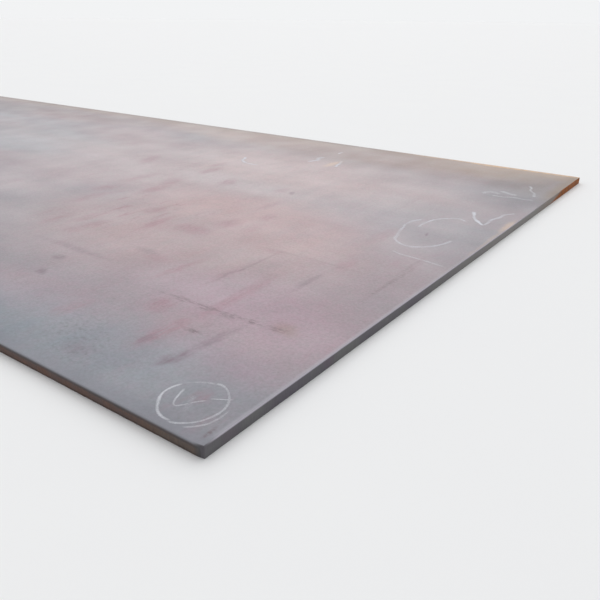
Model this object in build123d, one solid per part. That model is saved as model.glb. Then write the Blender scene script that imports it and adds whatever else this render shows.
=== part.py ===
from build123d import *
import os

# A hot-rolled steel plate that lies flat. X runs along the length, Y across the width, Z up.
# The origin is the middle of the underside. All sizes are in millimetres.

# Stock size
length = 6000.0
width = 2000.0
thickness = 22.0

# Long sides, trimmed by shear blades that came down on the top surface
rollover_width = 3.0  # how far in from the side the top surface starts to dip
rollover_depth = 1.2  # how far down the dip reaches
land_height = 5.5  # upright band that the blade wiped smooth, below the dip
break_set_back = 1.4  # how far the torn face under the land falls back at the underside
worn_radius = 0.4  # lowest edge of the torn face, rounded by handling

# Ends, cut square by a torch
melt_radius = 1.5  # top edge of the cut, rounded by the flame
foot_chamfer = 0.5  # bottom edge of the cut, with its slag knocked off

# Corners, where the torch washed the side away as it came in
wash_run = 20.0  # length of the washed stretch along the side
wash_depth = 4.0  # how far it cuts into the width at the very end


def side_outline():
    """Right half of the section across the plate, from the underside's middle to the top's."""
    side = width / 2
    land_top = thickness - rollover_depth
    underside = Line((0, 0), (side - break_set_back, 0))
    torn_face = Line(underside @ 1, (side, land_top - land_height))
    land = Line(torn_face @ 1, (side, land_top))
    dip = EllipticalCenterArc(
        center=(side - rollover_width, land_top),
        x_radius=rollover_width,
        y_radius=rollover_depth,
        start_angle=0,
        arc_size=90,
    )
    top = Line(dip @ 1, (0, thickness))
    return [underside, torn_face, land, dip, top]


def rolled_strip():
    """The section carried along the whole length, with both long sides sheared."""
    outline = side_outline()
    section = make_face(outline + [edge.mirror(Plane.YZ) for edge in outline])
    strip = extrude(Plane.YZ.offset(-length / 2) * section, amount=length)
    lowest_edges = strip.edges().filter_by(Axis.X).group_by(Axis.Z)[0]
    return fillet(lowest_edges, worn_radius)


def plan_outline():
    """The plate seen from above: a rectangle whose sides curve in just before the ends."""
    end, side = length / 2, width / 2
    side_line = Line((0, side), (end - wash_run, side))
    corner = (end, side - wash_depth)
    washed_side = TangentArc([side_line @ 1, corner], tangent=side_line % 1)
    end_line = Line(corner, (end, 0))
    quarter = [side_line, washed_side, end_line]
    right_half = quarter + [edge.mirror(Plane.XZ) for edge in quarter]
    return make_face(right_half + [edge.mirror(Plane.YZ) for edge in right_half])


def cut_ends(strip):
    """Cuts the strip to the plan outline, then eases the top and bottom edges of both ends."""
    plate = strip & extrude(plan_outline(), amount=thickness)
    top_edges = plate.edges().filter_by(Axis.Y).group_by(Axis.Z)[-1]
    plate = fillet(top_edges, melt_radius)
    foot_edges = plate.edges().filter_by(Axis.Y).group_by(Axis.Z)[0]
    return chamfer(foot_edges, foot_chamfer)


plate = cut_ends(rolled_strip())
os.makedirs("parts", exist_ok=True)
export_step(plate, "parts/plate.step")
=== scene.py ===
import math

import bmesh
import bpy
import numpy as np
from mathutils import Matrix, Vector
from mathutils.geometry import delaunay_2d_cdt


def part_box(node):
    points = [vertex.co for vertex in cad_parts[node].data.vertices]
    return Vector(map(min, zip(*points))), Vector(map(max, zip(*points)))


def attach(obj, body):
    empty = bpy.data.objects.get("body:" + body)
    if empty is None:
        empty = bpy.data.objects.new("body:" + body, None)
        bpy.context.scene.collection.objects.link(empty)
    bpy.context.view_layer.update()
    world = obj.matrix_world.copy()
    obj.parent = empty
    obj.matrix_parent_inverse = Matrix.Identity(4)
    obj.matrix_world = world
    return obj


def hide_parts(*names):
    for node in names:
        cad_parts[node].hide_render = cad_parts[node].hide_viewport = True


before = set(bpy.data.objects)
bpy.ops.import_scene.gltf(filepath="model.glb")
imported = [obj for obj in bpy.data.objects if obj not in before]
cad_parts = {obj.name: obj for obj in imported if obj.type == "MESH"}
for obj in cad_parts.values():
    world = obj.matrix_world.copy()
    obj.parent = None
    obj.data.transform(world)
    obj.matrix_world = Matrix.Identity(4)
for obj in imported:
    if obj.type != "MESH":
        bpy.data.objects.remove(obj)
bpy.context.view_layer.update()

# A hot-rolled steel plate, weathered in a stockyard. Metres, X along the length, Z up.

MM = 0.001
low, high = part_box("plate")
LENGTH = high.x - low.x
WIDTH = high.y - low.y
THICKNESS = high.z - low.z
END_X = LENGTH / 2
SIDE_Y = WIDTH / 2

# Edge sizes, as in the part
ROLLOVER_WIDTH = 3.0 * MM
ROLLOVER_DEPTH = 1.2 * MM
LAND_HEIGHT = 5.5 * MM
BREAK_SET_BACK = 1.4 * MM
WORN_RADIUS = 0.4 * MM
MELT_RADIUS = 1.5 * MM
FOOT_CHAMFER = 0.5 * MM
WASH_RUN = 20.0 * MM
WASH_DEPTH = 4.0 * MM

# Height of the line between a sheared side's wiped land and its torn face
LAND_FOOT = THICKNESS - ROLLOVER_DEPTH - LAND_HEIGHT

# Spacing of the mesh: along the edges, over their flat rims, and on the flats inside
END_STEP = 1.3 * MM
SIDE_STEP = 5.0 * MM
WASH_STEPS = 10
RIM_WIDTH = 11.0 * MM
RIM_LEAD = 0.6 * MM
INNER_SPACING = 0.1
INNER_MARGIN = 0.06


def srgb(red, green, blue):
    """A colour given as 0 to 255 on the screen, as Blender's linear values."""
    def linear(value):
        value /= 255
        return value / 12.92 if value <= 0.04045 else ((value + 0.055) / 1.055) ** 2.4

    return (linear(red), linear(green), linear(blue), 1.0)


# Smooth random values


class Noise:
    """Smooth values from 0 to 1 over a plane, the same on every run."""

    SIZE = 256

    def __init__(self, seed):
        self.table = np.random.default_rng(seed).random((self.SIZE, self.SIZE))

    def __call__(self, u, v=0.0):
        u, v = np.broadcast_arrays(np.asarray(u, float), np.asarray(v, float))
        column, row = np.floor(u).astype(int), np.floor(v).astype(int)
        along, up = u - column, v - row
        along, up = (part * part * (3 - 2 * part) for part in (along, up))

        def corner(i, j):
            return self.table[(column + i) % self.SIZE, (row + j) % self.SIZE]

        bottom = corner(0, 0) * (1 - along) + corner(1, 0) * along
        top = corner(0, 1) * (1 - along) + corner(1, 1) * along
        return bottom * (1 - up) + top * up


def smooth_step(value, start, end):
    """0 at start, 1 at end, eased between them."""
    part = np.clip((value - start) / (end - start), 0, 1)
    return part * part * (3 - 2 * part)


# Outline of the plate in plan


def end_stations():
    """Points and outward directions up the front end, between its two corners."""
    reach = SIDE_Y - WASH_DEPTH
    count = round(2 * reach / END_STEP)
    y = np.linspace(-reach, reach, count + 1)
    points = np.stack([np.full_like(y, END_X), y], 1)
    outward = np.tile([1.0, 0.0], (len(y), 1))
    return points, outward, np.ones_like(y)


def wash_stations():
    """From just past the front end's upper corner to the start of the straight side."""
    part = np.arange(1, WASH_STEPS + 1) / WASH_STEPS
    x = END_X - WASH_RUN * part
    y = SIDE_Y - WASH_DEPTH * (1 - part) ** 2
    slope = 2 * WASH_DEPTH * (1 - part) / WASH_RUN
    outward = np.stack([slope, np.ones_like(slope)], 1)
    outward /= np.linalg.norm(outward, axis=1)[:, None]
    return np.stack([x, y], 1), outward, (1 - part) ** 2


def side_stations():
    """Points along the straight left side, from the front wash to the back one."""
    reach = END_X - WASH_RUN
    count = round(2 * reach / SIDE_STEP)
    x = np.linspace(reach, -reach, count + 1)[1:-1]
    points = np.stack([x, np.full_like(x, SIDE_Y)], 1)
    outward = np.tile([0.0, 1.0], (len(x), 1))
    return points, outward, np.zeros_like(x)


def mirrored(stations, axis):
    """The same stations on the other side of X or Y, still in anticlockwise order."""
    points, outward, torch = (part[::-1].copy() for part in stations)
    points[:, axis] *= -1
    outward[:, axis] *= -1
    return points, outward, torch


def turned(stations):
    """The same stations half a turn round the middle of the plate."""
    points, outward, torch = stations
    return -points, -outward, torch


def outline():
    """Points round the plate, the way in from each, and how far each is torch cut."""
    half = [end_stations(), wash_stations(), side_stations(), mirrored(wash_stations(), 0)]
    whole = half + [turned(stations) for stations in half]
    points, outward, torch = (np.concatenate(part) for part in zip(*whole))
    return points, -outward, torch


def moved_in(points, inward, depth):
    """The outline's points that deep inside it: end points move along X, the others along Y."""
    on_end = inward[:, 1] == 0
    x = np.minimum(np.abs(points[:, 0]), END_X - depth)
    washed = np.clip(1 - (END_X - x) / WASH_RUN, 0, 1)
    side = SIDE_Y - WASH_DEPTH * washed**2 - depth
    y = np.where(on_end, np.minimum(np.abs(points[:, 1]), side), side)
    return np.stack([x * np.sign(points[:, 0]), y * np.sign(points[:, 1])], 1)


# Section through the edge: distance in from the outline, and height. Both sections have the
# same number of points, so that one can change into the other.

ROUNDING = np.radians([90, 60, 30, 0])
TORCH_FACE_STEPS = 8
LAND_STEPS = 2
TORN_STEPS = 6


def torch_section():
    """A torch-cut end: rounded top edge, upright face, chamfered foot."""
    rim = [(RIM_WIDTH, THICKNESS), (MELT_RADIUS + RIM_LEAD, THICKNESS)]
    middle = THICKNESS - MELT_RADIUS
    rounded = [
        (MELT_RADIUS * (1 - math.cos(turn)), middle + MELT_RADIUS * math.sin(turn))
        for turn in ROUNDING
    ]
    face = [(0.0, z) for z in np.linspace(middle, FOOT_CHAMFER, TORCH_FACE_STEPS + 1)[1:]]
    return np.array(rim + rounded + face + [(FOOT_CHAMFER, 0.0), (RIM_WIDTH, 0.0)])


def sheared_section():
    """A sheared side: dipped top edge, wiped land, torn face that falls back."""
    rim = [(RIM_WIDTH, THICKNESS), (ROLLOVER_WIDTH + RIM_LEAD, THICKNESS)]
    land_top = THICKNESS - ROLLOVER_DEPTH
    dipped = [
        (ROLLOVER_WIDTH * (1 - math.cos(turn)), land_top + ROLLOVER_DEPTH * math.sin(turn))
        for turn in ROUNDING
    ]
    land = [(0.0, z) for z in np.linspace(land_top, LAND_FOOT, LAND_STEPS + 1)[1:]]
    torn = [
        (BREAK_SET_BACK * part, LAND_FOOT * (1 - part) + WORN_RADIUS * part)
        for part in np.linspace(0, 1, TORN_STEPS + 1)[1:]
    ]
    foot = (BREAK_SET_BACK + WORN_RADIUS, 0.0)
    return np.array(rim + dipped + land + torn + [foot, (RIM_WIDTH, 0.0)])


# Relief of the edge faces: depths into the steel, and how far along the edge each takes to
# change. Where a noise is read along a line only, its second number picks the line.

DRAG_PITCH = 6.5 * MM
DRAG_TRAIL = 4 * MM
DRAG_DEPTH = 0.07 * MM
DRAG_WANDER = 14
DRAG_WANDER_LENGTH = 0.03
GOUGE_DEPTH = 0.6 * MM
GOUGE_LENGTH = 0.009
GOUGE_FROM = 0.86
END_SWAY_DEPTH = 0.30 * MM
END_SWAY_LENGTH = 0.11
END_GRAIN_DEPTH = 0.2 * MM
END_GRAIN_LENGTH = 0.017
SIDE_SWAY_DEPTH = 0.3 * MM
SIDE_SWAY_LENGTH = 0.09
LAND_GRAIN_DEPTH = 0.05 * MM
LAND_GRAIN_LENGTH = 0.01
TORN_EASE = 2 * MM
TORN_COARSE = (0.45 * MM, 0.013, 0.004)
TORN_FINE = (0.25 * MM, 0.006, 0.0025)
TORCH_SEED = 40
SHEARED_SEED = 60


def torch_relief(along, height):
    """Drag lines that trail back towards the foot, with a few deeper gouges."""
    grain, drift, gouge = (Noise(TORCH_SEED + number) for number in range(3))
    sunk = (THICKNESS - height) / THICKNESS
    trailing = along + DRAG_TRAIL * sunk**2
    wander = DRAG_WANDER * drift(trailing / DRAG_WANDER_LENGTH)
    ridges = 0.5 + 0.5 * np.sin(2 * math.pi * trailing / DRAG_PITCH + wander)
    broad = END_SWAY_DEPTH * drift(along / END_SWAY_LENGTH, 7.5)
    broad = broad + END_GRAIN_DEPTH * grain(along / END_GRAIN_LENGTH, sunk * 1.5)
    deep = smooth_step(gouge(trailing / GOUGE_LENGTH, 3.3), GOUGE_FROM, 1.0) * GOUGE_DEPTH
    return DRAG_DEPTH * ridges * (0.4 + sunk) + broad + deep * smooth_step(sunk, 0.1, 0.5)


def sheared_relief(along, height):
    """A nearly smooth land above a rough torn face."""
    grain, broad, fine = (Noise(SHEARED_SEED + number) for number in range(3))
    torn = smooth_step(height, LAND_FOOT + TORN_EASE, LAND_FOOT - TORN_EASE)
    rough = 0.0
    for noise, (depth, length, rise) in ((grain, TORN_COARSE), (fine, TORN_FINE)):
        rough = rough + depth * noise(along / length, height / rise)
    sway = SIDE_SWAY_DEPTH * broad(along / SIDE_SWAY_LENGTH, 0.5)
    return torn * rough + sway + LAND_GRAIN_DEPTH * fine(along / LAND_GRAIN_LENGTH, 9.5)


def edge_rings():
    """Every vertex of the edge, ring by ring from the top's rim to the underside's."""
    points, inward, torch = outline()
    cut, sheared = torch_section(), sheared_section()
    # The rims and the start of the rounding stay smooth, and the relief eases in below them
    on_face = np.zeros(len(cut))
    on_face[3:-1] = 1
    on_face[3] = on_face[-2] = 0.5
    rings = []
    for ring in range(len(cut)):
        depth = torch * cut[ring, 0] + (1 - torch) * sheared[ring, 0]
        height = torch * cut[ring, 1] + (1 - torch) * sheared[ring, 1]
        relief = torch * torch_relief(points[:, 1], height)
        relief += (1 - torch) * sheared_relief(points[:, 0], height)
        depth = depth + relief * on_face[ring]
        place = moved_in(points, inward, depth)
        rings.append(np.column_stack([place, height]))
    return np.array(rings), torch


# What delaunay_2d_cdt is asked for: the triangles inside the border, and how close points merge
INSIDE = 1
SAME_POINT = 1e-7


def flat_face(ring):
    """Triangles that fill a flat ring of points, with a loose grid of points inside."""
    reach_x, reach_y = END_X - INNER_MARGIN, SIDE_Y - INNER_MARGIN
    xs = np.linspace(-reach_x, reach_x, round(2 * reach_x / INNER_SPACING))
    ys = np.linspace(-reach_y, reach_y, round(2 * reach_y / INNER_SPACING))
    inner = [Vector((x, y)) for x in xs for y in ys]
    border = [Vector(point[:2]) for point in ring]
    edges = [(i, (i + 1) % len(border)) for i in range(len(border))]
    _, _, faces, sources, *_ = delaunay_2d_cdt(border + inner, edges, [], INSIDE, SAME_POINT)
    first = [source[0] for source in sources]
    return inner, [[first[corner] for corner in face] for face in faces]


# Places of the materials on the plate's mesh
TOP, SHEARED, TORCH_CUT, UNDER = range(4)

# Bands of the edge next to each rim that look like the flat face beside them
FLAT_BANDS = 2

CREASE = math.radians(38)
MERGED_WITHIN = 0.01 * MM
CLOSED_WITHIN = 0.001 * MM


def plate_mesh():
    """The whole plate as one closed mesh: its edge, then its top and its underside."""
    rings, torch = edge_rings()
    count = rings.shape[1]
    vertices = [tuple(point) for ring in rings for point in ring]
    faces, materials = [], []
    for ring in range(len(rings) - 1):
        for i in range(count):
            j = (i + 1) % count
            start, below = ring * count, (ring + 1) * count
            faces.append((start + i, below + i, below + j, start + j))
            materials.append(edge_material(ring, len(rings), torch[i] + torch[j]))
    for ring, height, look in ((0, THICKNESS, TOP), (len(rings) - 1, 0.0, UNDER)):
        inner, filling = flat_face(rings[ring])
        numbers = [ring * count + i for i in range(count)]
        numbers += range(len(vertices), len(vertices) + len(inner))
        vertices += [(point.x, point.y, height) for point in inner]
        for face in filling:
            corners = [numbers[corner] for corner in face]
            faces.append(corners[::-1] if look == UNDER else corners)
            materials.append(look)
    mesh = bpy.data.meshes.new("rolled_plate")
    mesh.from_pydata(vertices, [], faces)
    mesh.polygons.foreach_set("material_index", materials)
    mesh.polygons.foreach_set("use_smooth", [True] * len(faces))
    merge_doubles(mesh)
    mesh.set_sharp_from_angle(angle=CREASE)
    return mesh


def merge_doubles(mesh):
    """Joins the vertices that meet at the corners and drops the faces that close up there."""
    work = bmesh.new()
    work.from_mesh(mesh)
    bmesh.ops.remove_doubles(work, verts=work.verts, dist=MERGED_WITHIN)
    bmesh.ops.dissolve_degenerate(work, edges=work.edges, dist=CLOSED_WITHIN)
    work.to_mesh(mesh)
    work.free()


def edge_material(ring, rings, torch):
    """The look of a face of the edge, by its ring and how far its two points are torch cut."""
    if ring < FLAT_BANDS:
        return TOP
    if ring >= rings - FLAT_BANDS:
        return UNDER
    return TORCH_CUT if torch > 1 else SHEARED


# Shader building blocks


class Shader:
    """A node material, with short calls for the nodes that every surface here needs."""

    # A spot reaches far up and down, so only its place in plan counts. It is full at its core.
    SPOT_HEIGHT = 100.0
    SPOT_CORE = 0.15

    def __init__(self, name):
        self.material = bpy.data.materials.new(name)
        self.material.use_nodes = True
        self.tree = self.material.node_tree
        self.surface = self.tree.nodes["Principled BSDF"]
        self.place = self.node("ShaderNodeTexCoord").outputs["Object"]

    def feed(self, node, inputs):
        """Links or sets a node's inputs, by name or number."""
        for key, value in inputs.items():
            if isinstance(value, bpy.types.NodeSocket):
                self.tree.links.new(value, node.inputs[key])
            else:
                node.inputs[key].default_value = value

    def node(self, kind, inputs=None, **settings):
        made = self.tree.nodes.new(kind)
        for name, value in settings.items():
            setattr(made, name, value)
        self.feed(made, inputs or {})
        return made

    def math(self, operation, first, second=0.0, clamp=False):
        made = self.node("ShaderNodeMath", {0: first, 1: second}, operation=operation)
        made.use_clamp = clamp
        return made.outputs[0]

    def scaled(self, vector, factors):
        made = self.node("ShaderNodeVectorMath", {0: vector, 1: factors}, operation="MULTIPLY")
        return made.outputs[0]

    def noise(self, scale, detail=3.0, roughness=0.5, vector=None):
        inputs = {
            "Vector": vector or self.place,
            "Scale": scale,
            "Detail": detail,
            "Roughness": roughness,
        }
        return self.node("ShaderNodeTexNoise", inputs).outputs["Fac"]

    def grain(self, scales, detail, roughness, place=None):
        """Noise with a scale of its own along each axis, so it can be drawn out one way."""
        return self.noise(1.0, detail, roughness, self.scaled(place or self.place, scales))

    def span(self, value, start, end, low=0.0, high=1.0):
        """Value eased from low at start to high at end."""
        inputs = {"Value": value, "From Min": start, "From Max": end}
        inputs.update({"To Min": low, "To Max": high})
        made = self.node("ShaderNodeMapRange", inputs, interpolation_type="SMOOTHSTEP")
        return made.outputs["Result"]

    def mix(self, factor, first, second, blend="MIX"):
        inputs = {0: factor, 6: first, 7: second}
        made = self.node("ShaderNodeMix", inputs, data_type="RGBA", blend_type=blend)
        return made.outputs[2]

    def axis(self, name, place=None):
        made = self.node("ShaderNodeSeparateXYZ", {0: place or self.place})
        return made.outputs[name]

    def off_edge(self, name, half, place=None):
        """How far in a place is from the nearer of the plate's two edges across an axis."""
        return self.math("SUBTRACT", half, self.math("ABSOLUTE", self.axis(name, place)))

    def warped(self, amount, scale, detail=2.0):
        """The place moved about at random, so that what is laid out by it looks hand-made."""
        inputs = {"Vector": self.place, "Scale": scale, "Detail": detail}
        cloud = self.node("ShaderNodeTexNoise", inputs).outputs["Color"]
        inputs = {0: cloud, 1: (0.5,) * 3}
        centred = self.node("ShaderNodeVectorMath", inputs, operation="SUBTRACT").outputs[0]
        moved = self.scaled(centred, (amount,) * 3)
        made = self.node("ShaderNodeVectorMath", {0: self.place, 1: moved}, operation="ADD")
        return made.outputs[0]

    def patch(self, place, spot):
        """1 in the middle of a spot (x, y, half length, half width, turn, strength), 0 outside."""
        x, y, long, wide, turn, strength = spot
        if turn:
            inputs = {
                "Vector": place,
                "Location": (x, y, 0),
                "Rotation": (0, 0, math.radians(turn)),
                "Scale": (long, wide, self.SPOT_HEIGHT),
            }
            local = self.node("ShaderNodeMapping", inputs, vector_type="TEXTURE").outputs[0]
        else:
            inputs = {
                0: place,
                1: (1 / long, 1 / wide, 1 / self.SPOT_HEIGHT),
                2: (-x / long, -y / wide, 0),
            }
            local = self.node("ShaderNodeVectorMath", inputs, operation="MULTIPLY_ADD").outputs[0]
        away = self.node("ShaderNodeVectorMath", {0: local}, operation="LENGTH")
        return self.span(away.outputs["Value"], 1.0, self.SPOT_CORE, 0.0, strength)

    def patches(self, place, spots):
        """The strongest of several spots at each place."""
        total = self.patch(place, spots[0])
        for spot in spots[1:]:
            total = self.math("MAXIMUM", total, self.patch(place, spot))
        return total

    def bump(self, height, distance):
        made = self.node("ShaderNodeBump", {"Height": height, "Distance": distance})
        self.feed(self.surface, {"Normal": made.outputs["Normal"]})

    def finish(self, colour, roughness, metallic=0.0, specular=0.5):
        inputs = {
            "Base Color": colour,
            "Roughness": roughness,
            "Metallic": metallic,
            "Specular IOR Level": specular,
        }
        self.feed(self.surface, inputs)
        return self.material


# Colours of the steel and the chalk

SCALE_BLUE = srgb(127, 128, 135)
SCALE_VIOLET = srgb(138, 130, 138)
SCALE_DARK = srgb(92, 94, 101)
SHADE_VIOLET = srgb(106, 92, 101)
SHADE_BLUE = srgb(112, 119, 128)
SHADE_WARM = srgb(107, 91, 87)
COOL_PALE = srgb(152, 155, 161)
WARM_PALE = srgb(169, 152, 153)
BLOOM_PINK = srgb(157, 135, 137)
STREAK_ROSE = srgb(134, 91, 104)
STREAK_PURPLE = srgb(98, 76, 90)
BLOOM_MAUVE = srgb(146, 124, 136)
BLOOM_ROSE = srgb(166, 135, 135)
BLOOM_PALE = srgb(168, 158, 161)
BLOOM_CREAM = srgb(163, 141, 134)
SCRATCH_BROWN = srgb(92, 74, 80)
MARK_DARK = srgb(78, 68, 70)
HEAT_TINT = srgb(150, 148, 156)
# Painted highlight along the top of the cut ends
LIP_PAINTED_HIGHLIGHT = srgb(176, 171, 181)
TAN = srgb(132, 111, 93)
END_BROWN = srgb(112, 93, 77)
CREAM = srgb(204, 172, 140)
RIM_CREAM = srgb(196, 160, 122)
SIDE_GRIME = srgb(96, 99, 109)
RUST_ORANGE = srgb(150, 87, 38)
RUST_BROWN = srgb(108, 68, 42)
CUT_SLATE = srgb(88, 84, 92)
CUT_GREEN = srgb(101, 101, 101)
CUT_PURPLE = srgb(96, 84, 95)
CUT_PALE = srgb(146, 142, 137)
CUT_DARK = srgb(72, 68, 73)
CUT_STAIN = srgb(124, 108, 94)
TORN_BROWN = srgb(90, 77, 75)
TORN_RED = srgb(99, 74, 63)
TORN_OLIVE = srgb(92, 85, 78)
TORN_GREY = srgb(72, 72, 74)
TORN_DARK = srgb(66, 55, 52)
TORN_BRIGHT = srgb(122, 104, 94)
# Painted shade for the foot of the long sides
FOOT_PAINTED_SHADE = srgb(56, 45, 42)
LAND_GREY = srgb(66, 61, 61)
LAND_BROWN = srgb(76, 63, 61)
CHALK_WHITE = srgb(213, 214, 220)

SCALE_METALLIC = 0.25

# Heights between which a side takes on the scale colour of the rolled-over edge above it, and an
# end gets a painted highlight under its rounded edge
LIP_FOOT = THICKNESS - 3.5 * MM
LIP_TOP = THICKNESS - 0.5 * MM

# Bands along the edges, as the distances in from an edge where each starts and is at its full
HEAT_BAND = (10 * MM, 3 * MM)
HEAT_CLEAR_OF_SIDES = (10 * MM, 45 * MM)
GRIME_BAND = (50 * MM, 8 * MM)
TAN_BAND = (0.15, 0.02)
END_RUST_BAND = (0.05, 0.008)
END_RUST_REACH = (0.50, 0.28)
RIM_BAND = (0.035, 0.008)
RIM_GLOW_BAND = (0.11, 0.03)
SHEARED_END_BAND = (22 * MM, 5 * MM)
TORCH_SIDE_BAND = (6 * MM, 3 * MM)
LIP_CLEAR_OF_SIDES = (2 * MM, 36 * MM)

# Where the rolled top face differs, as x, y, half length, half width, turn in degrees, strength
PINK_ZONES = [
    (2.35, -0.34, 1.05, 0.55, 4, 1.0),
    (2.80, -0.60, 0.50, 0.32, 0, 0.8),
    (1.60, 0.00, 0.85, 0.38, 12, 0.65),
    (1.05, 0.55, 0.75, 0.30, -6, 0.6),
    (0.30, 0.75, 1.00, 0.20, 0, 0.6),
    (-0.90, -0.20, 1.10, 0.50, 20, 0.8),
    (-2.20, 0.35, 0.90, 0.45, -15, 0.8),
    (0.20, -0.70, 0.80, 0.28, 8, 0.6),
]
COOL_ZONES = [
    (0.80, 0.20, 0.80, 0.30, 8, 0.9),
    (-0.10, 0.42, 0.80, 0.24, 5, 0.7),
    (-1.60, -0.70, 0.90, 0.30, 0, 0.7),
]
WARM_ZONES = [
    (2.05, 0.40, 1.05, 0.62, 0, 1.0),
    (1.40, 0.28, 0.75, 0.34, 0, 0.6),
    (1.10, 0.95, 1.90, 0.10, 0, 0.3),
    (-1.60, 0.60, 0.80, 0.40, 0, 0.6),
]
DARK_ZONES = [
    (2.95, -0.95, 0.24, 0.26, 0, 0.4),
    (2.94, 0.70, 0.32, 0.48, 0, 0.65),
    (2.98, 0.20, 0.10, 0.36, 0, 0.14),
    (3.00, -0.05, 0.09, 1.30, 0, 0.16),
    (2.45, -0.36, 0.50, 0.18, 0, 0.10),
    (1.75, -0.88, 0.50, 0.20, 10, 0.3),
    (2.08, -0.80, 0.20, 0.12, 0, 0.25),
    (3.00, -1.00, 0.050, 0.050, 0, 0.50),
    (2.97, -0.70, 0.10, 0.12, 0, 0.20),
    (2.45, 0.58, 0.32, 0.16, 0, 0.16),
    (-0.50, 0.72, 0.90, 0.22, 0, 0.14),
]
BROWN_ZONES = [
    (2.30, 0.80, 1.20, 0.25, 0, 0.44),
    (2.86, 0.80, 0.34, 0.24, 0, 0.56),
    (0.00, 0.83, 1.70, 0.25, 0, 0.34),
]
PALE_ZONES = [
    (1.45, 0.04, 0.60, 0.26, 0, 0.50),
    (1.95, 0.15, 0.46, 0.14, 0, 0.55),
    (1.42, -0.32, 0.34, 0.22, 0, 0.50),
    (2.86, 0.15, 0.24, 0.14, 0, 0.25),
]
CREAM_ZONES = [
    (1.50, 0.87, 1.20, 0.20, 0, 0.60),
    (2.42, 0.84, 0.74, 0.18, 0, 0.62),
]
VIOLET_ZONES = [
    (2.50, -0.74, 0.85, 0.42, 5, 0.22),
    (2.94, -0.50, 0.26, 0.62, 0, 0.30),
    (2.92, -0.68, 0.16, 0.12, 0, 0.30),
]
BLUE_ZONES = [
    (2.36, -0.98, 0.95, 0.22, 6, 0.9),
    (2.72, -0.93, 0.30, 0.14, 0, 0.6),
    (2.97, -0.97, 0.10, 0.07, 0, 0.35),
]
MAUVE_ZONES = [
    (2.76, -0.62, 0.44, 0.22, 0, 0.7),
    (2.30, -0.82, 0.36, 0.14, 0, 0.3),
    (2.86, -0.80, 0.22, 0.11, 0, 0.45),
]
ROSE_ZONES = [
    (2.25, -0.08, 0.62, 0.22, 0, 0.60),
    (2.55, -0.26, 0.30, 0.14, 0, 0.30),
]
TAN_ZONES = [
    (2.70, 0.88, 0.36, 0.14, 0, 0.60),
    (2.94, 0.95, 0.16, 0.10, 0, 0.60),
    (2.868, -0.640, 0.042, 0.030, 0, 0.35),
]
ROSE_STREAKS = [
    (2.182, -0.345, 0.030, 0.120, 4, 0.72),
    (2.200, -0.360, 0.070, 0.160, 0, 0.25),
    (2.080, -0.250, 0.042, 0.055, 0, 0.55),
    (2.050, -0.450, 0.040, 0.080, -20, 0.50),
    (2.345, -0.216, 0.050, 0.070, 0, 0.55),
    (2.300, -0.314, 0.095, 0.050, 0, 0.60),
    (2.390, -0.530, 0.070, 0.032, 0, 0.35),
    (2.430, -0.210, 0.032, 0.070, 0, 0.30),
    (2.485, -0.540, 0.020, 0.130, -3, 0.45),
    (2.470, -0.830, 0.036, 0.070, 0, 0.35),
    (2.600, -0.710, 0.042, 0.055, 30, 0.55),
    (2.600, -0.500, 0.020, 0.120, 0, 0.30),
    (2.600, -0.320, 0.045, 0.024, 0, 0.35),
    (2.750, -0.030, 0.036, 0.110, 0, 0.35),
    (2.785, -0.290, 0.030, 0.065, 0, 0.40),
    (2.702, -0.580, 0.026, 0.210, 2, 0.55),
    (2.698, -0.785, 0.036, 0.115, 0, 0.70),
    (2.700, -0.780, 0.075, 0.140, 0, 0.30),
    (2.865, -0.635, 0.045, 0.060, 0, 0.15),
    (2.400, -0.100, 0.034, 0.060, 0, 0.40),
    (2.325, 0.000, 0.030, 0.080, 0, 0.35),
    (2.240, 0.170, 0.036, 0.050, 0, 0.40),
    (2.020, 0.140, 0.042, 0.080, 15, 0.50),
    (1.980, -0.420, 0.034, 0.100, 0, 0.35),
    (1.920, -0.480, 0.030, 0.080, 0, 0.40),
    (2.040, -0.520, 0.050, 0.040, 0, 0.35),
    (1.890, -0.090, 0.040, 0.110, 0, 0.50),
    (1.860, 0.020, 0.045, 0.090, 20, 0.45),
    (1.845, 0.240, 0.036, 0.090, 0, 0.45),
    (1.800, 0.330, 0.036, 0.080, 0, 0.35),
    (1.800, -0.270, 0.045, 0.110, 0, 0.45),
    (1.725, 0.000, 0.045, 0.120, 0, 0.45),
    (1.740, -0.180, 0.055, 0.070, -15, 0.45),
    (1.520, 0.220, 0.045, 0.130, 25, 0.40),
    (2.912, -0.905, 0.030, 0.030, 0, 0.35),
]
PURPLE_STREAKS = [
    (2.786, -0.845, 0.022, 0.060, -10, 0.85),
    (2.796, -0.760, 0.018, 0.120, -6, 0.45),
    (2.606, -0.440, 0.009, 0.190, -2, 0.35),
    (2.694, -0.830, 0.016, 0.035, 0, 0.50),
    (2.290, 0.160, 0.011, 0.032, 20, 0.60),
    (2.250, -0.750, 0.032, 0.018, -35, 0.70),
    (2.200, -0.670, 0.034, 0.020, 0, 0.55),
    (2.170, -0.608, 0.190, 0.022, 0, 0.35),
    (2.340, -0.510, 0.060, 0.026, 0, 0.30),
    (2.774, -0.430, 0.015, 0.090, 0, 0.45),
    (2.620, -0.930, 0.050, 0.034, 0, 0.35),
    (2.840, 0.040, 0.006, 0.020, 20, 0.80),
    (0.150, -0.450, 0.016, 0.110, 0, 0.60),
    (-0.340, -0.640, 0.022, 0.080, 0, 0.55),
    (-0.620, 0.180, 0.014, 0.120, 0, 0.50),
    (-1.180, -0.280, 0.020, 0.090, 0, 0.65),
    (-1.420, -0.360, 0.016, 0.130, 0, 0.50),
    (-1.880, 0.420, 0.022, 0.100, 0, 0.55),
    (-2.240, -0.080, 0.014, 0.140, 0, 0.55),
    (-2.520, -0.620, 0.024, 0.080, 0, 0.60),
    (-2.730, 0.300, 0.018, 0.110, 0, 0.50),
]
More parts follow.
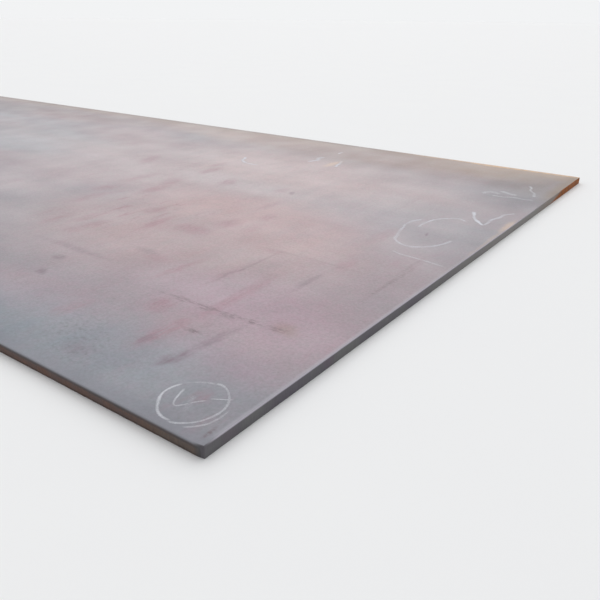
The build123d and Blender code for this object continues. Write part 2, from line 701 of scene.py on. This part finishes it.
SCRATCHES = [
    (2.695, -0.662, 0.260, 0.0095, 1, 0.55),
    (2.620, -0.664, 0.040, 0.0140, 0, 0.60),
    (2.690, -0.668, 0.030, 0.0140, 0, 0.65),
    (2.745, -0.668, 0.034, 0.0150, 0, 0.60),
    (2.805, -0.660, 0.018, 0.0150, 0, 0.75),
    (2.865, -0.655, 0.036, 0.0150, 0, 0.60),
    (2.738, -0.756, 0.030, 0.0100, 0, 0.80),
    (2.700, -0.310, 0.240, 0.0100, 0, 0.20),
    (2.984, -0.970, 0.0060, 0.024, 0, 1.00),
    (2.925, -0.310, 0.0090, 0.190, 0, 0.40),
    (2.915, -0.200, 0.0080, 0.110, 0, 0.35),
    (0.350, -0.280, 0.3200, 0.0100, 0, 0.40),
    (-0.900, 0.520, 0.4200, 0.0100, 0, 0.45),
    (-1.050, -0.610, 0.2600, 0.0120, 0, 0.50),
    (-1.980, -0.420, 0.3600, 0.0100, 0, 0.45),
    (-2.400, 0.130, 0.2200, 0.0120, 0, 0.50),
]
CHATTER = (2.585, -0.905, 0.185, 0.105, -35, 0.55)
SMEARED = (2.020, -0.220, 0.50, 0.50, 0, 1.0)
CREAM_STAINS = [
    (2.992, 0.245, 0.018, 0.095, 0, 0.40),
    (2.996, 0.120, 0.012, 0.260, 0, 0.18),
    (2.150, 0.620, 0.030, 0.085, 0, 0.40),
]


# Colour of each kind of zone, in the order in which they lie over each other
ZONES = [
    (COOL_ZONES, COOL_PALE),
    (WARM_ZONES, WARM_PALE),
    (PINK_ZONES, BLOOM_PINK),
    (PALE_ZONES, BLOOM_PALE),
    (ROSE_ZONES, BLOOM_ROSE),
    (CREAM_ZONES, BLOOM_CREAM),
    (DARK_ZONES, SCALE_DARK),
    (BROWN_ZONES, SHADE_WARM),
    (VIOLET_ZONES, SHADE_VIOLET),
    (BLUE_ZONES, SHADE_BLUE),
    (MAUVE_ZONES, BLOOM_MAUVE),
    (TAN_ZONES, TAN),
]

# The fine grain, mottle and lanes of the scale: how much darker or lighter each can make it
MOTTLE_SHADE = (-0.06, 0.06)
LANE_SHADE = (-0.035, 0.035)
GRAIN_SHADE = (0.10, -0.12)
HUE_SHIFT = (-0.026, 0.026)
SCALE_ROUGHNESS = (0.38, 0.50)
SCALE_BUMP = 0.10 * MM


def rolled_face(name):
    """Blue-grey mill scale with its colour and fine mottle, before what weather has done."""
    shader = Shader(name)
    tone = shader.span(shader.noise(1.1, 3.0, 0.5), 0.35, 0.65)
    colour = shader.mix(tone, SCALE_BLUE, SCALE_VIOLET)
    mottle = shader.noise(24.0, 5.0, 0.65)
    lanes = shader.grain((0.35, 7.0, 1.0), 4.0, 0.6)
    grain = shader.noise(170.0, 4.0, 0.75)
    parts = [
        shader.span(mottle, 0.3, 0.7, *MOTTLE_SHADE),
        shader.span(lanes, 0.3, 0.7, *LANE_SHADE),
        shader.span(grain, 0.3, 0.72, *GRAIN_SHADE),
    ]
    shade = 1.0
    for part in parts:
        shade = shader.math("ADD", part, shade)
    hue = shader.span(shader.noise(60.0, 6.0, 0.7), 0.3, 0.7, *HUE_SHIFT)
    red = shader.math("ADD", shade, hue)
    green = shader.math("SUBTRACT", shade, hue)
    shade = shader.node("ShaderNodeCombineColor", {0: red, 1: green, 2: shade}).outputs[0]
    rough = shader.span(shader.noise(6.0, 5.0, 0.6), 0.3, 0.7, *SCALE_ROUGHNESS)
    pits = shader.noise(420.0, 4.0, 0.6)
    relief = shader.math("ADD", pits, shader.math("MULTIPLY", mottle, 1.5))
    shader.bump(relief, SCALE_BUMP)
    return shader, colour, shade, rough


def underside_scale():
    """The underside: plain scale with a thin, even bloom of rust."""
    shader, colour, shade, rough = rolled_face("mill_scale_under")
    bloom = shader.span(shader.noise(2.6, 5.0, 0.6), 0.35, 0.75, 0.1, 0.7)
    colour = shader.mix(bloom, colour, BLOOM_PINK)
    colour = shader.mix(1.0, colour, shade, "MULTIPLY")
    return shader.finish(colour, rough, metallic=SCALE_METALLIC)


def top_scale(name, chalked=False):
    """The top face: broad zones of bloom, streaks across the width and a few scratches."""
    shader, colour, shade, rough = rolled_face(name)
    broad = shader.warped(0.14, 3.0, 4.0)
    smear = shader.grain((20.0, 4.0, 1.0), 5.0, 0.6)
    uneven = shader.span(smear, 0.25, 0.75, 0.78, 1.12)
    lanes = shader.grain((0.7, 4.0, 1.0), 4.0, 0.6)
    spread = shader.span(lanes, 0.35, 0.7, 0.1, 0.5)
    for zones, zone_colour in ZONES:
        amount = shader.patches(broad, zones)
        if zones is PINK_ZONES:
            # Some pink runs in lanes all over the plate
            amount = shader.math("MAXIMUM", amount, spread)
        amount = shader.math("MULTIPLY", amount, uneven, clamp=True)
        colour = shader.mix(amount, colour, zone_colour)
    colour = streaks(shader, colour)
    colour = shader.mix(1.0, colour, shade, "MULTIPLY")
    colour = edge_tints(shader, colour)
    metallic = SCALE_METALLIC
    if chalked:
        cover = chalk_cover(shader)
        colour = shader.mix(cover, colour, CHALK_WHITE)
        rough = shader.math("ADD", rough, shader.math("MULTIPLY", cover, 0.5), clamp=True)
        metallic = shader.span(cover, 0.0, 0.6, SCALE_METALLIC, 0.0)
    return shader.finish(colour, rough, metallic=metallic)


def chalk_cover(shader):
    """Chalk caught on the grain of the scale: how much of it the mesh says, broken up."""
    amount = shader.node("ShaderNodeAttribute", attribute_name="chalk").outputs["Fac"]
    grain = shader.span(shader.noise(900.0, 3.0, 0.7), 0.25, 0.75, -0.36, 0.36)
    skips = shader.span(shader.noise(150.0, 3.0, 0.6), 0.3, 0.7, -0.08, 0.08)
    broken = shader.math("ADD", shader.math("ADD", amount, grain), skips)
    present = shader.span(amount, 0.0, 0.3)
    return shader.math("MULTIPLY", shader.span(broken, -0.05, 1.15, 0.0, 0.95), present)


def streaks(shader, colour):
    """Smears drawn out across the width, with a few scratches and dark marks."""
    place = shader.warped(0.024, 26.0, 3.0)
    broken = shader.span(shader.grain((130.0, 24.0, 1.0), 4.0, 0.65), 0.3, 0.62, 0.35, 1.0)
    across = shader.grain((34.0, 8.0, 1.0), 4.0, 0.6)
    where = smeared_places(shader)
    faint = shader.math("MULTIPLY", shader.span(across, 0.54, 0.74, 0.0, 0.6), where)
    rose = shader.math("ADD", shader.patches(place, ROSE_STREAKS), faint)
    rose = shader.math("MULTIPLY", rose, broken, clamp=True)
    colour = shader.mix(shader.math("MULTIPLY", rose, 0.95), colour, STREAK_ROSE)
    purple = shader.math("MULTIPLY", shader.patches(place, PURPLE_STREAKS), broken)
    colour = shader.mix(purple, colour, STREAK_PURPLE)
    flecks = shader.span(shader.grain((110.0, 75.0, 1.0), 3.0, 0.6), 0.62, 0.76, 0.0, 0.5)
    colour = shader.mix(shader.math("MULTIPLY", flecks, where), colour, MARK_DARK)
    fine = shader.warped(0.012, 26.0, 4.0)
    skips = shader.span(shader.grain((60.0, 200.0, 1.0), 4.0, 0.7), 0.35, 0.6)
    scratch = shader.math("MULTIPLY", shader.patches(fine, SCRATCHES), skips)
    colour = shader.mix(scratch, colour, SCRATCH_BROWN)
    ripple = shader.span(shader.grain((80.0, 110.0, 1.0), 2.0, 0.5, fine), 0.50, 0.68)
    chatter = shader.math("MULTIPLY", ripple, shader.patch(place, CHATTER))
    return shader.mix(chatter, colour, SCALE_DARK)


def smeared_places(shader):
    """Where the top face has smears: here and there, in one wide spot, and all over the rear."""
    where = shader.span(shader.noise(1.9, 3.0), 0.40, 0.62, 0.1, 0.45)
    where = shader.math("MAXIMUM", where, shader.patch(shader.place, SMEARED))
    rear = shader.span(shader.axis("X"), 0.9, 0.2)
    clusters = shader.span(shader.noise(1.3, 3.0), 0.42, 0.58, 0.2, 1.5)
    return shader.math("MAXIMUM", where, shader.math("MULTIPLY", rear, clusters))


def edge_tints(shader, colour):
    """The heat-tinted line along the cut ends, grime along the sides, rust at the far side."""
    edge = shader.warped(0.005, 70.0, 3.0)
    off_end = shader.off_edge("X", END_X, edge)
    off_side = shader.off_edge("Y", SIDE_Y, edge)
    fading = shader.span(shader.axis("Y"), -0.6, 0.35, 0.5, 0.0)
    tint = shader.math("MULTIPLY", shader.span(off_end, *HEAT_BAND), fading)
    tint = shader.math("MULTIPLY", tint, shader.span(off_side, *HEAT_CLEAR_OF_SIDES))
    colour = shader.mix(tint, colour, HEAT_TINT)
    colour = shader.mix(shader.span(off_side, *GRIME_BAND, 0.0, 0.45), colour, SIDE_GRIME)
    off_far_side = shader.math("SUBTRACT", SIDE_Y, shader.axis("Y", shader.warped(0.05, 7.0)))
    colour = shader.mix(shader.span(off_far_side, *TAN_BAND, 0.0, 0.5), colour, TAN)
    near_end = shader.span(shader.axis("X"), 2.1, 2.7, 0.0, 0.9)
    rusty = shader.math("MULTIPLY", shader.span(off_far_side, *END_RUST_REACH), near_end)
    rusty = shader.math("MULTIPLY", rusty, shader.span(off_end, *END_RUST_BAND))
    colour = shader.mix(rusty, colour, END_BROWN)
    stain = shader.patches(shader.warped(0.02, 30.0), CREAM_STAINS)
    colour = shader.mix(stain, colour, CREAM)
    rim = shader.span(off_far_side, *RIM_BAND, 0.0, 0.85)
    rim = shader.math("ADD", rim, shader.span(off_far_side, *RIM_GLOW_BAND, 0.0, 0.15))
    patchy = shader.span(shader.noise(55.0, 6.0, 0.7), 0.35, 0.60, 0.5, 1.1)
    rim = shader.math("MULTIPLY", shader.math("MULTIPLY", rim, near_end), patchy, clamp=True)
    return shader.mix(rim, colour, RIM_CREAM)


def flaking_rust(shader):
    """The flakes of orange and brown rust near the far corner, and their colour."""
    flakes = shader.noise(60.0, 8.0, 0.72)
    return flakes, shader.mix(shader.span(flakes, 0.4, 0.65), RUST_ORANGE, RUST_BROWN)


def sheared_steel():
    """Long sides: a dull wiped land over a brown torn face, rusty next to the far corner, with
    painted shade at the foot.
    """
    shader = Shader("sheared_steel")
    height = shader.axis("Z")
    stretched = shader.scaled(shader.place, (1.0, 1.0, 0.5))
    patchy = shader.noise(14.0, 5.0, 0.65, stretched)
    spots = shader.noise(45.0, 6.0, 0.7)
    tears = shader.grain((520.0, 520.0, 70.0), 5.0, 0.65)
    flecks = shader.noise(420.0, 4.0, 0.7)
    olive = shader.span(shader.noise(6.0, 4.0, 0.6), 0.55, 0.72, 0.0, 0.6)
    olive = shader.math("MAXIMUM", olive, shader.span(shader.axis("X"), 2.82, 2.95, 0.0, 0.7))
    brown = shader.mix(shader.span(patchy, 0.35, 0.7), TORN_BROWN, TORN_RED)
    for amount, shade in (
        (olive, TORN_OLIVE),
        (shader.span(spots, 0.6, 0.78, 0.0, 0.6), RUST_ORANGE),
        (shader.span(tears, 0.50, 0.72, 0.0, 0.5), TORN_DARK),
        (shader.span(tears, 0.46, 0.30, 0.0, 0.4), TORN_BRIGHT),
        (shader.span(flecks, 0.58, 0.70, 0.0, 0.5), RUST_ORANGE),
        # Painted shade: the side darker towards the bottom, where the plate meets what it rests on
        (shader.span(height, 7 * MM, 1 * MM, 0.0, 0.6), FOOT_PAINTED_SHADE),
    ):
        brown = shader.mix(amount, brown, shade)
    land = shader.mix(shader.span(patchy, 0.4, 0.65), LAND_GREY, LAND_BROWN)
    wiped = shader.grain((240.0, 240.0, 24.0), 4.0, 0.6)
    land = shader.mix(shader.span(wiped, 0.55, 0.72, 0.0, 0.4), land, TORN_RED)
    ragged = shader.math("ADD", height, shader.math("MULTIPLY", spots, 3 * MM))
    colour = shader.mix(shader.span(ragged, LAND_FOOT, LAND_FOOT + 3 * MM), brown, land)
    colour = shader.mix(shader.span(height, LIP_FOOT, THICKNESS, 0.0, 0.9), colour, SCALE_BLUE)
    off_end = shader.off_edge("X", END_X)
    colour = shader.mix(shader.span(off_end, *SHEARED_END_BAND, 0.0, 0.9), colour, TORN_GREY)
    flakes, orange = flaking_rust(shader)
    colour = shader.mix(rusty_corner(shader, flakes), colour, orange)
    torn = shader.span(height, LAND_FOOT + 3 * MM, LAND_FOOT - 1 * MM, 0.2, 1.0)
    shader.bump(shader.math("MULTIPLY", shader.math("ADD", tears, flecks), torn), 0.6 * MM)
    rough = shader.span(height, LAND_FOOT - 2 * MM, LAND_FOOT + 3 * MM, 0.85, 0.55)
    return shader.finish(colour, rough, specular=0.35)


def rusty_corner(shader, flakes):
    """How rusty the far side is as it nears the front end."""
    near = shader.math("ADD", shader.axis("X"), shader.math("MULTIPLY", flakes, 0.20))
    far_side = shader.math("GREATER_THAN", shader.axis("Y"), 0.0)
    return shader.math("MULTIPLY", shader.span(near, 2.94, 3.10, 0.0, 0.9), far_side)


# How far the rust on the front end leans over as it goes up
RUST_LEAN = 5.0


def torch_cut():
    """Ends: slate grey with fine upright drag lines, a painted highlight under the rounded top
    edge, rusty next to the far corner.
    """
    shader = Shader("torch_cut")
    along = shader.axis("Y")
    height = shader.axis("Z")
    off_side = shader.off_edge("Y", SIDE_Y)
    front = shader.math("GREATER_THAN", shader.axis("X"), 0.0)
    tint = shader.noise(7.0, 4.0, 0.6)
    lines = shader.grain((600.0, 600.0, 30.0), 3.0, 0.7)
    purple = shader.span(shader.noise(11.0, 3.0), 0.58, 0.72, 0.0, 0.6)
    jagged = shader.axis("Y", shader.warped(0.03, 40.0, 3.0))
    stained = shader.math("MULTIPLY", shader.span(jagged, 0.45, 0.62, 0.0, 0.5), front)
    # Painted highlight: the top few mm of the end made pale, strongest over the near part and
    # fading towards the far side
    lip_highlight = shader.span(height, LIP_FOOT, LIP_TOP)
    lip_highlight = shader.math("MULTIPLY", lip_highlight, shader.span(along, 0.2, 0.65, 1.0, 0.15))
    lip_highlight = shader.math("MULTIPLY", lip_highlight, shader.span(off_side, *LIP_CLEAR_OF_SIDES))
    leaning = shader.math("SUBTRACT", jagged, shader.math("MULTIPLY", height, RUST_LEAN))
    rusty = shader.math("MULTIPLY", shader.span(leaning, 0.60, 0.68), front)
    flakes, orange = flaking_rust(shader)
    colour = shader.mix(shader.span(tint, 0.35, 0.65), CUT_SLATE, CUT_GREEN)
    for amount, shade in (
        (purple, CUT_PURPLE),
        (shader.span(lines, 0.45, 0.7, 0.0, 0.35), CUT_DARK),
        (shader.span(along, -0.5, 0.3, 0.0, 0.5), CUT_PALE),
        (stained, CUT_STAIN),
        (shader.span(off_side, *TORCH_SIDE_BAND, 0.0, 0.55), CUT_DARK),
        (lip_highlight, LIP_PAINTED_HIGHLIGHT),
        (rusty, orange),
    ):
        colour = shader.mix(amount, colour, shade)
    relief = shader.math("ADD", lines, shader.math("MULTIPLY", flakes, rusty))
    shader.bump(relief, 0.25 * MM)
    rough = shader.span(tint, 0.3, 0.7, 0.5, 0.65)
    rough = shader.math("ADD", rough, shader.math("MULTIPLY", rusty, 0.25))
    return shader.finish(colour, rough, specular=0.25)


# Pieces


def add_piece(name, mesh, materials):
    """A piece in the scene, riding on the plate's one body."""
    piece = bpy.data.objects.new(name, mesh)
    bpy.context.scene.collection.objects.link(piece)
    for material in materials:
        mesh.materials.append(material)
    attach(piece, "root")
    return piece


def build_plate():
    looks = {
        TOP: top_scale("mill_scale_top"),
        SHEARED: sheared_steel(),
        TORCH_CUT: torch_cut(),
        UNDER: underside_scale(),
    }
    plate = add_piece("rolled_plate", plate_mesh(), [looks[place] for place in sorted(looks)])
    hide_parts("plate")


# Chalk marks, drawn by hand on the top face

CHALK_RAISE = 0.10 * MM
CHALK_SUNK = 0.02 * MM
CHALK_STEP = 2.0 * MM
CHALK_COLUMNS = 11
CHALK_TAPER = 10.0 * MM
CHALK_START = -0.3 * CHALK_TAPER
CHALK_CREASE = math.radians(60)

# How far a stroke strays from its line, its reach to either side, and how hard it is pressed.
# The first two are in its widths; the lengths are how far along each takes to change.
STRAY = 0.7
STRAY_LENGTH = 0.035
REACH_LEAST = 0.4
REACH_MORE = 0.25
REACH_LENGTH = 0.02
PRESSED_LEAST = 0.6
PRESSED_MORE = 0.6
PRESSED_LENGTH = 0.025

# Part of a stroke's reach that chalk covers, and rows of noise between one stroke and the next
DUSTED = 0.85
ROWS_APART = 9
REACH_ROW = 4

SPLINE_STEPS = 60
ARC_STEP = 15
WAVER_SEED = 70
PRESSURE_SEED = 71


def spline(points):
    """Evenly spaced places along a smooth line through the points."""
    points = np.array(points, float)
    ends = np.vstack([2 * points[0] - points[1], points, 2 * points[-1] - points[-2]])
    t = np.linspace(0, 1, SPLINE_STEPS, endpoint=False)[:, None]
    line = []
    for a, b, c, d in zip(ends, ends[1:], ends[2:], ends[3:]):
        bend = 2 * a - 5 * b + 4 * c - d + t * (3 * (b - c) + d - a)
        line.append(b + 0.5 * t * (c - a + t * bend))
    line = np.vstack(line + [points[-1:]])
    gone = np.concatenate([[0], np.cumsum(np.linalg.norm(np.diff(line, axis=0), axis=1))])
    even = np.linspace(0, gone[-1], round(gone[-1] / CHALK_STEP) + 1)
    return np.stack([np.interp(even, gone, line[:, axis]) for axis in (0, 1)], 1)


def arc(middle, reach, start, end, shrink=1.0):
    """Points round an oval from one angle to another, ending at shrink times its size."""
    turns = np.radians(np.linspace(start, end, round(abs(end - start) / ARC_STEP) + 1))
    sizes = np.linspace(1, shrink, len(turns))
    x, y = middle
    long, wide = reach
    return [
        (x - long * size * math.cos(turn), y + wide * size * math.sin(turn))
        for size, turn in zip(sizes, turns)
    ]


RING_MIDDLE = (0.089, 0.075)

# Each stroke: places as (in from the end, up from the near side), pressure, and width in mm
STROKES = [
    (arc(RING_MIDDLE, (0.058, 0.058), 150, 278), 0.70, 7.8),
    (arc(RING_MIDDLE, (0.053, 0.059), 270, 462), 0.60, 7.2),
    (arc((0.087, 0.074), (0.060, 0.062), 296, 376), 0.46, 6.2),
    (arc(RING_MIDDLE, (0.060, 0.058), 96, 156), 0.30, 8.0),
    ([(0.128, 0.094), (0.118, 0.060), (0.104, 0.050), (0.086, 0.076), (0.074, 0.090)], 0.65, 6.0),
    ([(0.106, 0.088), (0.094, 0.062), (0.080, 0.044)], 0.22, 20.0),
    ([(0.075, 0.094), (0.058, 0.105), (0.042, 0.116)], 0.65, 4.5),
    (arc((0.160, 1.090), (0.086, 0.168), -20, -205), 0.58, 14.0),
    (arc((0.150, 1.110), (0.070, 0.120), 62, 195, 0.8), 0.66, 13.0),
    ([(0.138, 1.330), (0.122, 1.285), (0.096, 1.240), (0.066, 1.210)], 1.08, 16.0),
    ([(0.066, 1.210), (0.070, 1.260), (0.060, 1.315), (0.040, 1.385)], 0.70, 15.0),
    ([(0.180, 0.866), (0.125, 0.858), (0.070, 0.850), (0.020, 0.842)], 0.46, 12.0),
    ([(0.106, 1.752), (0.092, 1.705), (0.066, 1.655), (0.046, 1.610)], 0.62, 15.0),
    ([(0.212, 1.560), (0.180, 1.585), (0.150, 1.580)], 0.50, 32.0),
    ([(0.165, 1.620), (0.130, 1.595), (0.100, 1.590)], 0.58, 28.0),
    ([(0.170, 1.545), (0.120, 1.555), (0.080, 1.562), (0.036, 1.566)], 0.50, 18.0),
    ([(1.206, 1.510), (1.180, 1.450), (1.130, 1.420), (1.070, 1.425)], 0.84, 18.0),
    ([(0.950, 1.840), (0.935, 1.800)], 0.75, 18.0),
    ([(0.955, 1.710), (0.950, 1.650), (0.944, 1.590)], 0.68, 32.0),
    ([(0.850, 1.690), (0.828, 1.640), (0.815, 1.580)], 0.75, 21.0),
]


def chalk_marks():
    """Low closed ribbons, each vertex with how much chalk is on it."""
    waver, pressure = Noise(WAVER_SEED), Noise(PRESSURE_SEED)
    across = np.linspace(-1, 1, CHALK_COLUMNS)
    dome = 1 - across**2
    dusted = np.clip(1 - (across / DUSTED) ** 2, 0, 1)
    vertices, faces, amounts = [], [], []
    for number, (points, pressed, width) in enumerate(STROKES):
        row = ROWS_APART * number
        line = spline([(END_X - x, y - SIDE_Y) for x, y in points])
        along = np.arange(len(line)) * CHALK_STEP
        ahead = np.gradient(line, axis=0)
        side = np.stack([-ahead[:, 1], ahead[:, 0]], 1) / np.linalg.norm(ahead, axis=1)[:, None]
        sway = width * MM * STRAY * (waver(along / STRAY_LENGTH, row) - 0.5)
        wider = REACH_MORE * pressure(along / REACH_LENGTH, row + REACH_ROW)
        reach = width * MM * (REACH_LEAST + wider)
        off = sway[:, None] + reach[:, None] * across
        places = line[:, None] + side[:, None] * off[:, :, None]
        to_end = np.minimum(along, along[-1] - along)
        harder = PRESSED_MORE * pressure(along / PRESSED_LENGTH, row)
        amount = pressed * (PRESSED_LEAST + harder)
        amount = amount * smooth_step(to_end, CHALK_START, CHALK_TAPER)
        raised = CHALK_RAISE * smooth_step(to_end, 0, CHALK_TAPER)
        first, count = len(vertices), len(line)
        for line_across, strength, crown in zip(places, amount, raised):
            heights = THICKNESS - CHALK_SUNK + (crown + CHALK_SUNK) * dome
            vertices += [(x, y, z) for (x, y), z in zip(line_across, heights)]
            amounts += list(strength * dusted)
        faces += ribbon_faces(first, count)
    mesh = bpy.data.meshes.new("chalk_marks")
    mesh.from_pydata(vertices, [], faces)
    mesh.attributes.new("chalk", "FLOAT", "POINT").data.foreach_set("value", amounts)
    mesh.polygons.foreach_set("use_smooth", [True] * len(faces))
    mesh.set_sharp_from_angle(angle=CHALK_CREASE)
    return mesh


def ribbon_faces(first, count):
    """Faces of a ribbon of rows of vertices: its top, its two ends and its flat underside."""
    last = CHALK_COLUMNS - 1
    rows = [first + row * CHALK_COLUMNS for row in range(count)]
    faces = []
    for row, following in zip(rows, rows[1:]):
        faces += [(row + i, following + i, following + i + 1, row + i + 1) for i in range(last)]
        faces.append((row + last, following + last, following, row))
    faces.append(tuple(rows[0] + i for i in range(CHALK_COLUMNS)))
    faces.append(tuple(rows[-1] + i for i in range(last, -1, -1)))
    return faces


def build_chalk():
    add_piece("chalk_marks", chalk_marks(), [top_scale("chalk_on_scale", chalked=True)])


# Floor, light and camera

FLOOR_RADIUS = 60.0
FLOOR_SIDES = 96
FLOOR_HEIGHT = -0.2 * MM
FLOOR_GREY = srgb(238, 238, 238)
FLOOR_PALE = srgb(242, 242, 241)
BACKDROP = srgb(242, 243, 244)
WHITE = (1.0, 1.0, 1.0, 1.0)
SKY = (0.97, 0.98, 1.0, 1.0)
SKY_STRENGTH = 0.7


def build_floor():
    """A large pale disc just under the plate."""
    turns = np.linspace(0, 2 * math.pi, FLOOR_SIDES, endpoint=False)
    vertices = [
        (FLOOR_RADIUS * math.cos(turn), FLOOR_RADIUS * math.sin(turn), FLOOR_HEIGHT)
        for turn in turns
    ]
    mesh = bpy.data.meshes.new("floor")
    mesh.from_pydata(vertices, [], [list(range(FLOOR_SIDES))])
    floor = bpy.data.objects.new("floor", mesh)
    bpy.context.scene.collection.objects.link(floor)
    shader = Shader("floor")
    cloud = shader.noise(3.0, 2.0)
    colour = shader.mix(cloud, FLOOR_GREY, FLOOR_PALE)
    mesh.materials.append(shader.finish(colour, shader.span(cloud, 0.3, 0.7, 0.8, 0.9)))


def soft_sun(name, azimuth, elevation, spread, strength):
    """Even light from a wide patch of the sky. Azimuth 0 is behind the plate, 90 its front end."""
    data = bpy.data.lights.new(name, "SUN")
    data.angle = math.radians(spread)
    data.energy = strength
    lamp = bpy.data.objects.new(name, data)
    lean = Matrix.Rotation(math.radians(90 - elevation), 4, "X")
    lamp.matrix_world = Matrix.Rotation(math.radians(180 - azimuth), 4, "Z") @ lean
    bpy.context.scene.collection.objects.link(lamp)


def build_light():
    """An even sky that looks pale to the camera and in reflections, and one soft sun."""
    world = bpy.data.worlds.new("studio")
    bpy.context.scene.world = world
    world.use_nodes = True
    tree = world.node_tree
    lit = tree.nodes["Background"]
    lit.inputs["Strength"].default_value = SKY_STRENGTH
    lit.inputs["Color"].default_value = SKY
    path = tree.nodes.new("ShaderNodeLightPath")
    shown = lit.outputs[0]
    for ray, colour in (
        ("Is Glossy Ray", WHITE),
        ("Is Transmission Ray", WHITE),
        ("Is Camera Ray", BACKDROP),
    ):
        seen = tree.nodes.new("ShaderNodeBackground")
        seen.inputs["Color"].default_value = colour
        mix = tree.nodes.new("ShaderNodeMixShader")
        tree.links.new(path.outputs[ray], mix.inputs[0])
        tree.links.new(shown, mix.inputs[1])
        tree.links.new(seen.outputs[0], mix.inputs[2])
        shown = mix.outputs[0]
    tree.links.new(shown, tree.nodes["World Output"].inputs["Surface"])
    soft_sun("key", azimuth=-35, elevation=50, spread=70, strength=1.1)


# Camera, fitted to the photograph's straight edges

AZIMUTH = math.radians(35.86)
ELEVATION = math.radians(24.47)
ROLL = math.radians(-0.53)
FOCAL_PIXELS = 630.4
IMAGE_PIXELS = 600
SENSOR_WIDTH = 36.0
CAMERA_PLACE = Vector((END_X + 0.522, -SIDE_Y - 0.4945, THICKNESS + 0.5472))
CAMERA_REACH = (0.01, 200.0)


def build_camera():
    data = bpy.data.cameras.new("camera")
    data.sensor_width = SENSOR_WIDTH
    data.lens = SENSOR_WIDTH * FOCAL_PIXELS / IMAGE_PIXELS
    data.clip_start, data.clip_end = CAMERA_REACH
    camera = bpy.data.objects.new("camera", data)
    turn = Matrix.Rotation(AZIMUTH, 4, "Z") @ Matrix.Rotation(math.pi / 2 - ELEVATION, 4, "X")
    camera.matrix_world = Matrix.Translation(CAMERA_PLACE) @ turn @ Matrix.Rotation(-ROLL, 4, "Z")
    bpy.context.scene.collection.objects.link(camera)
    bpy.context.scene.camera = camera


build_plate()
build_chalk()
build_floor()
build_light()
build_camera()
bpy.context.scene.view_settings.view_transform = "Standard"

bpy.context.view_layer.update()
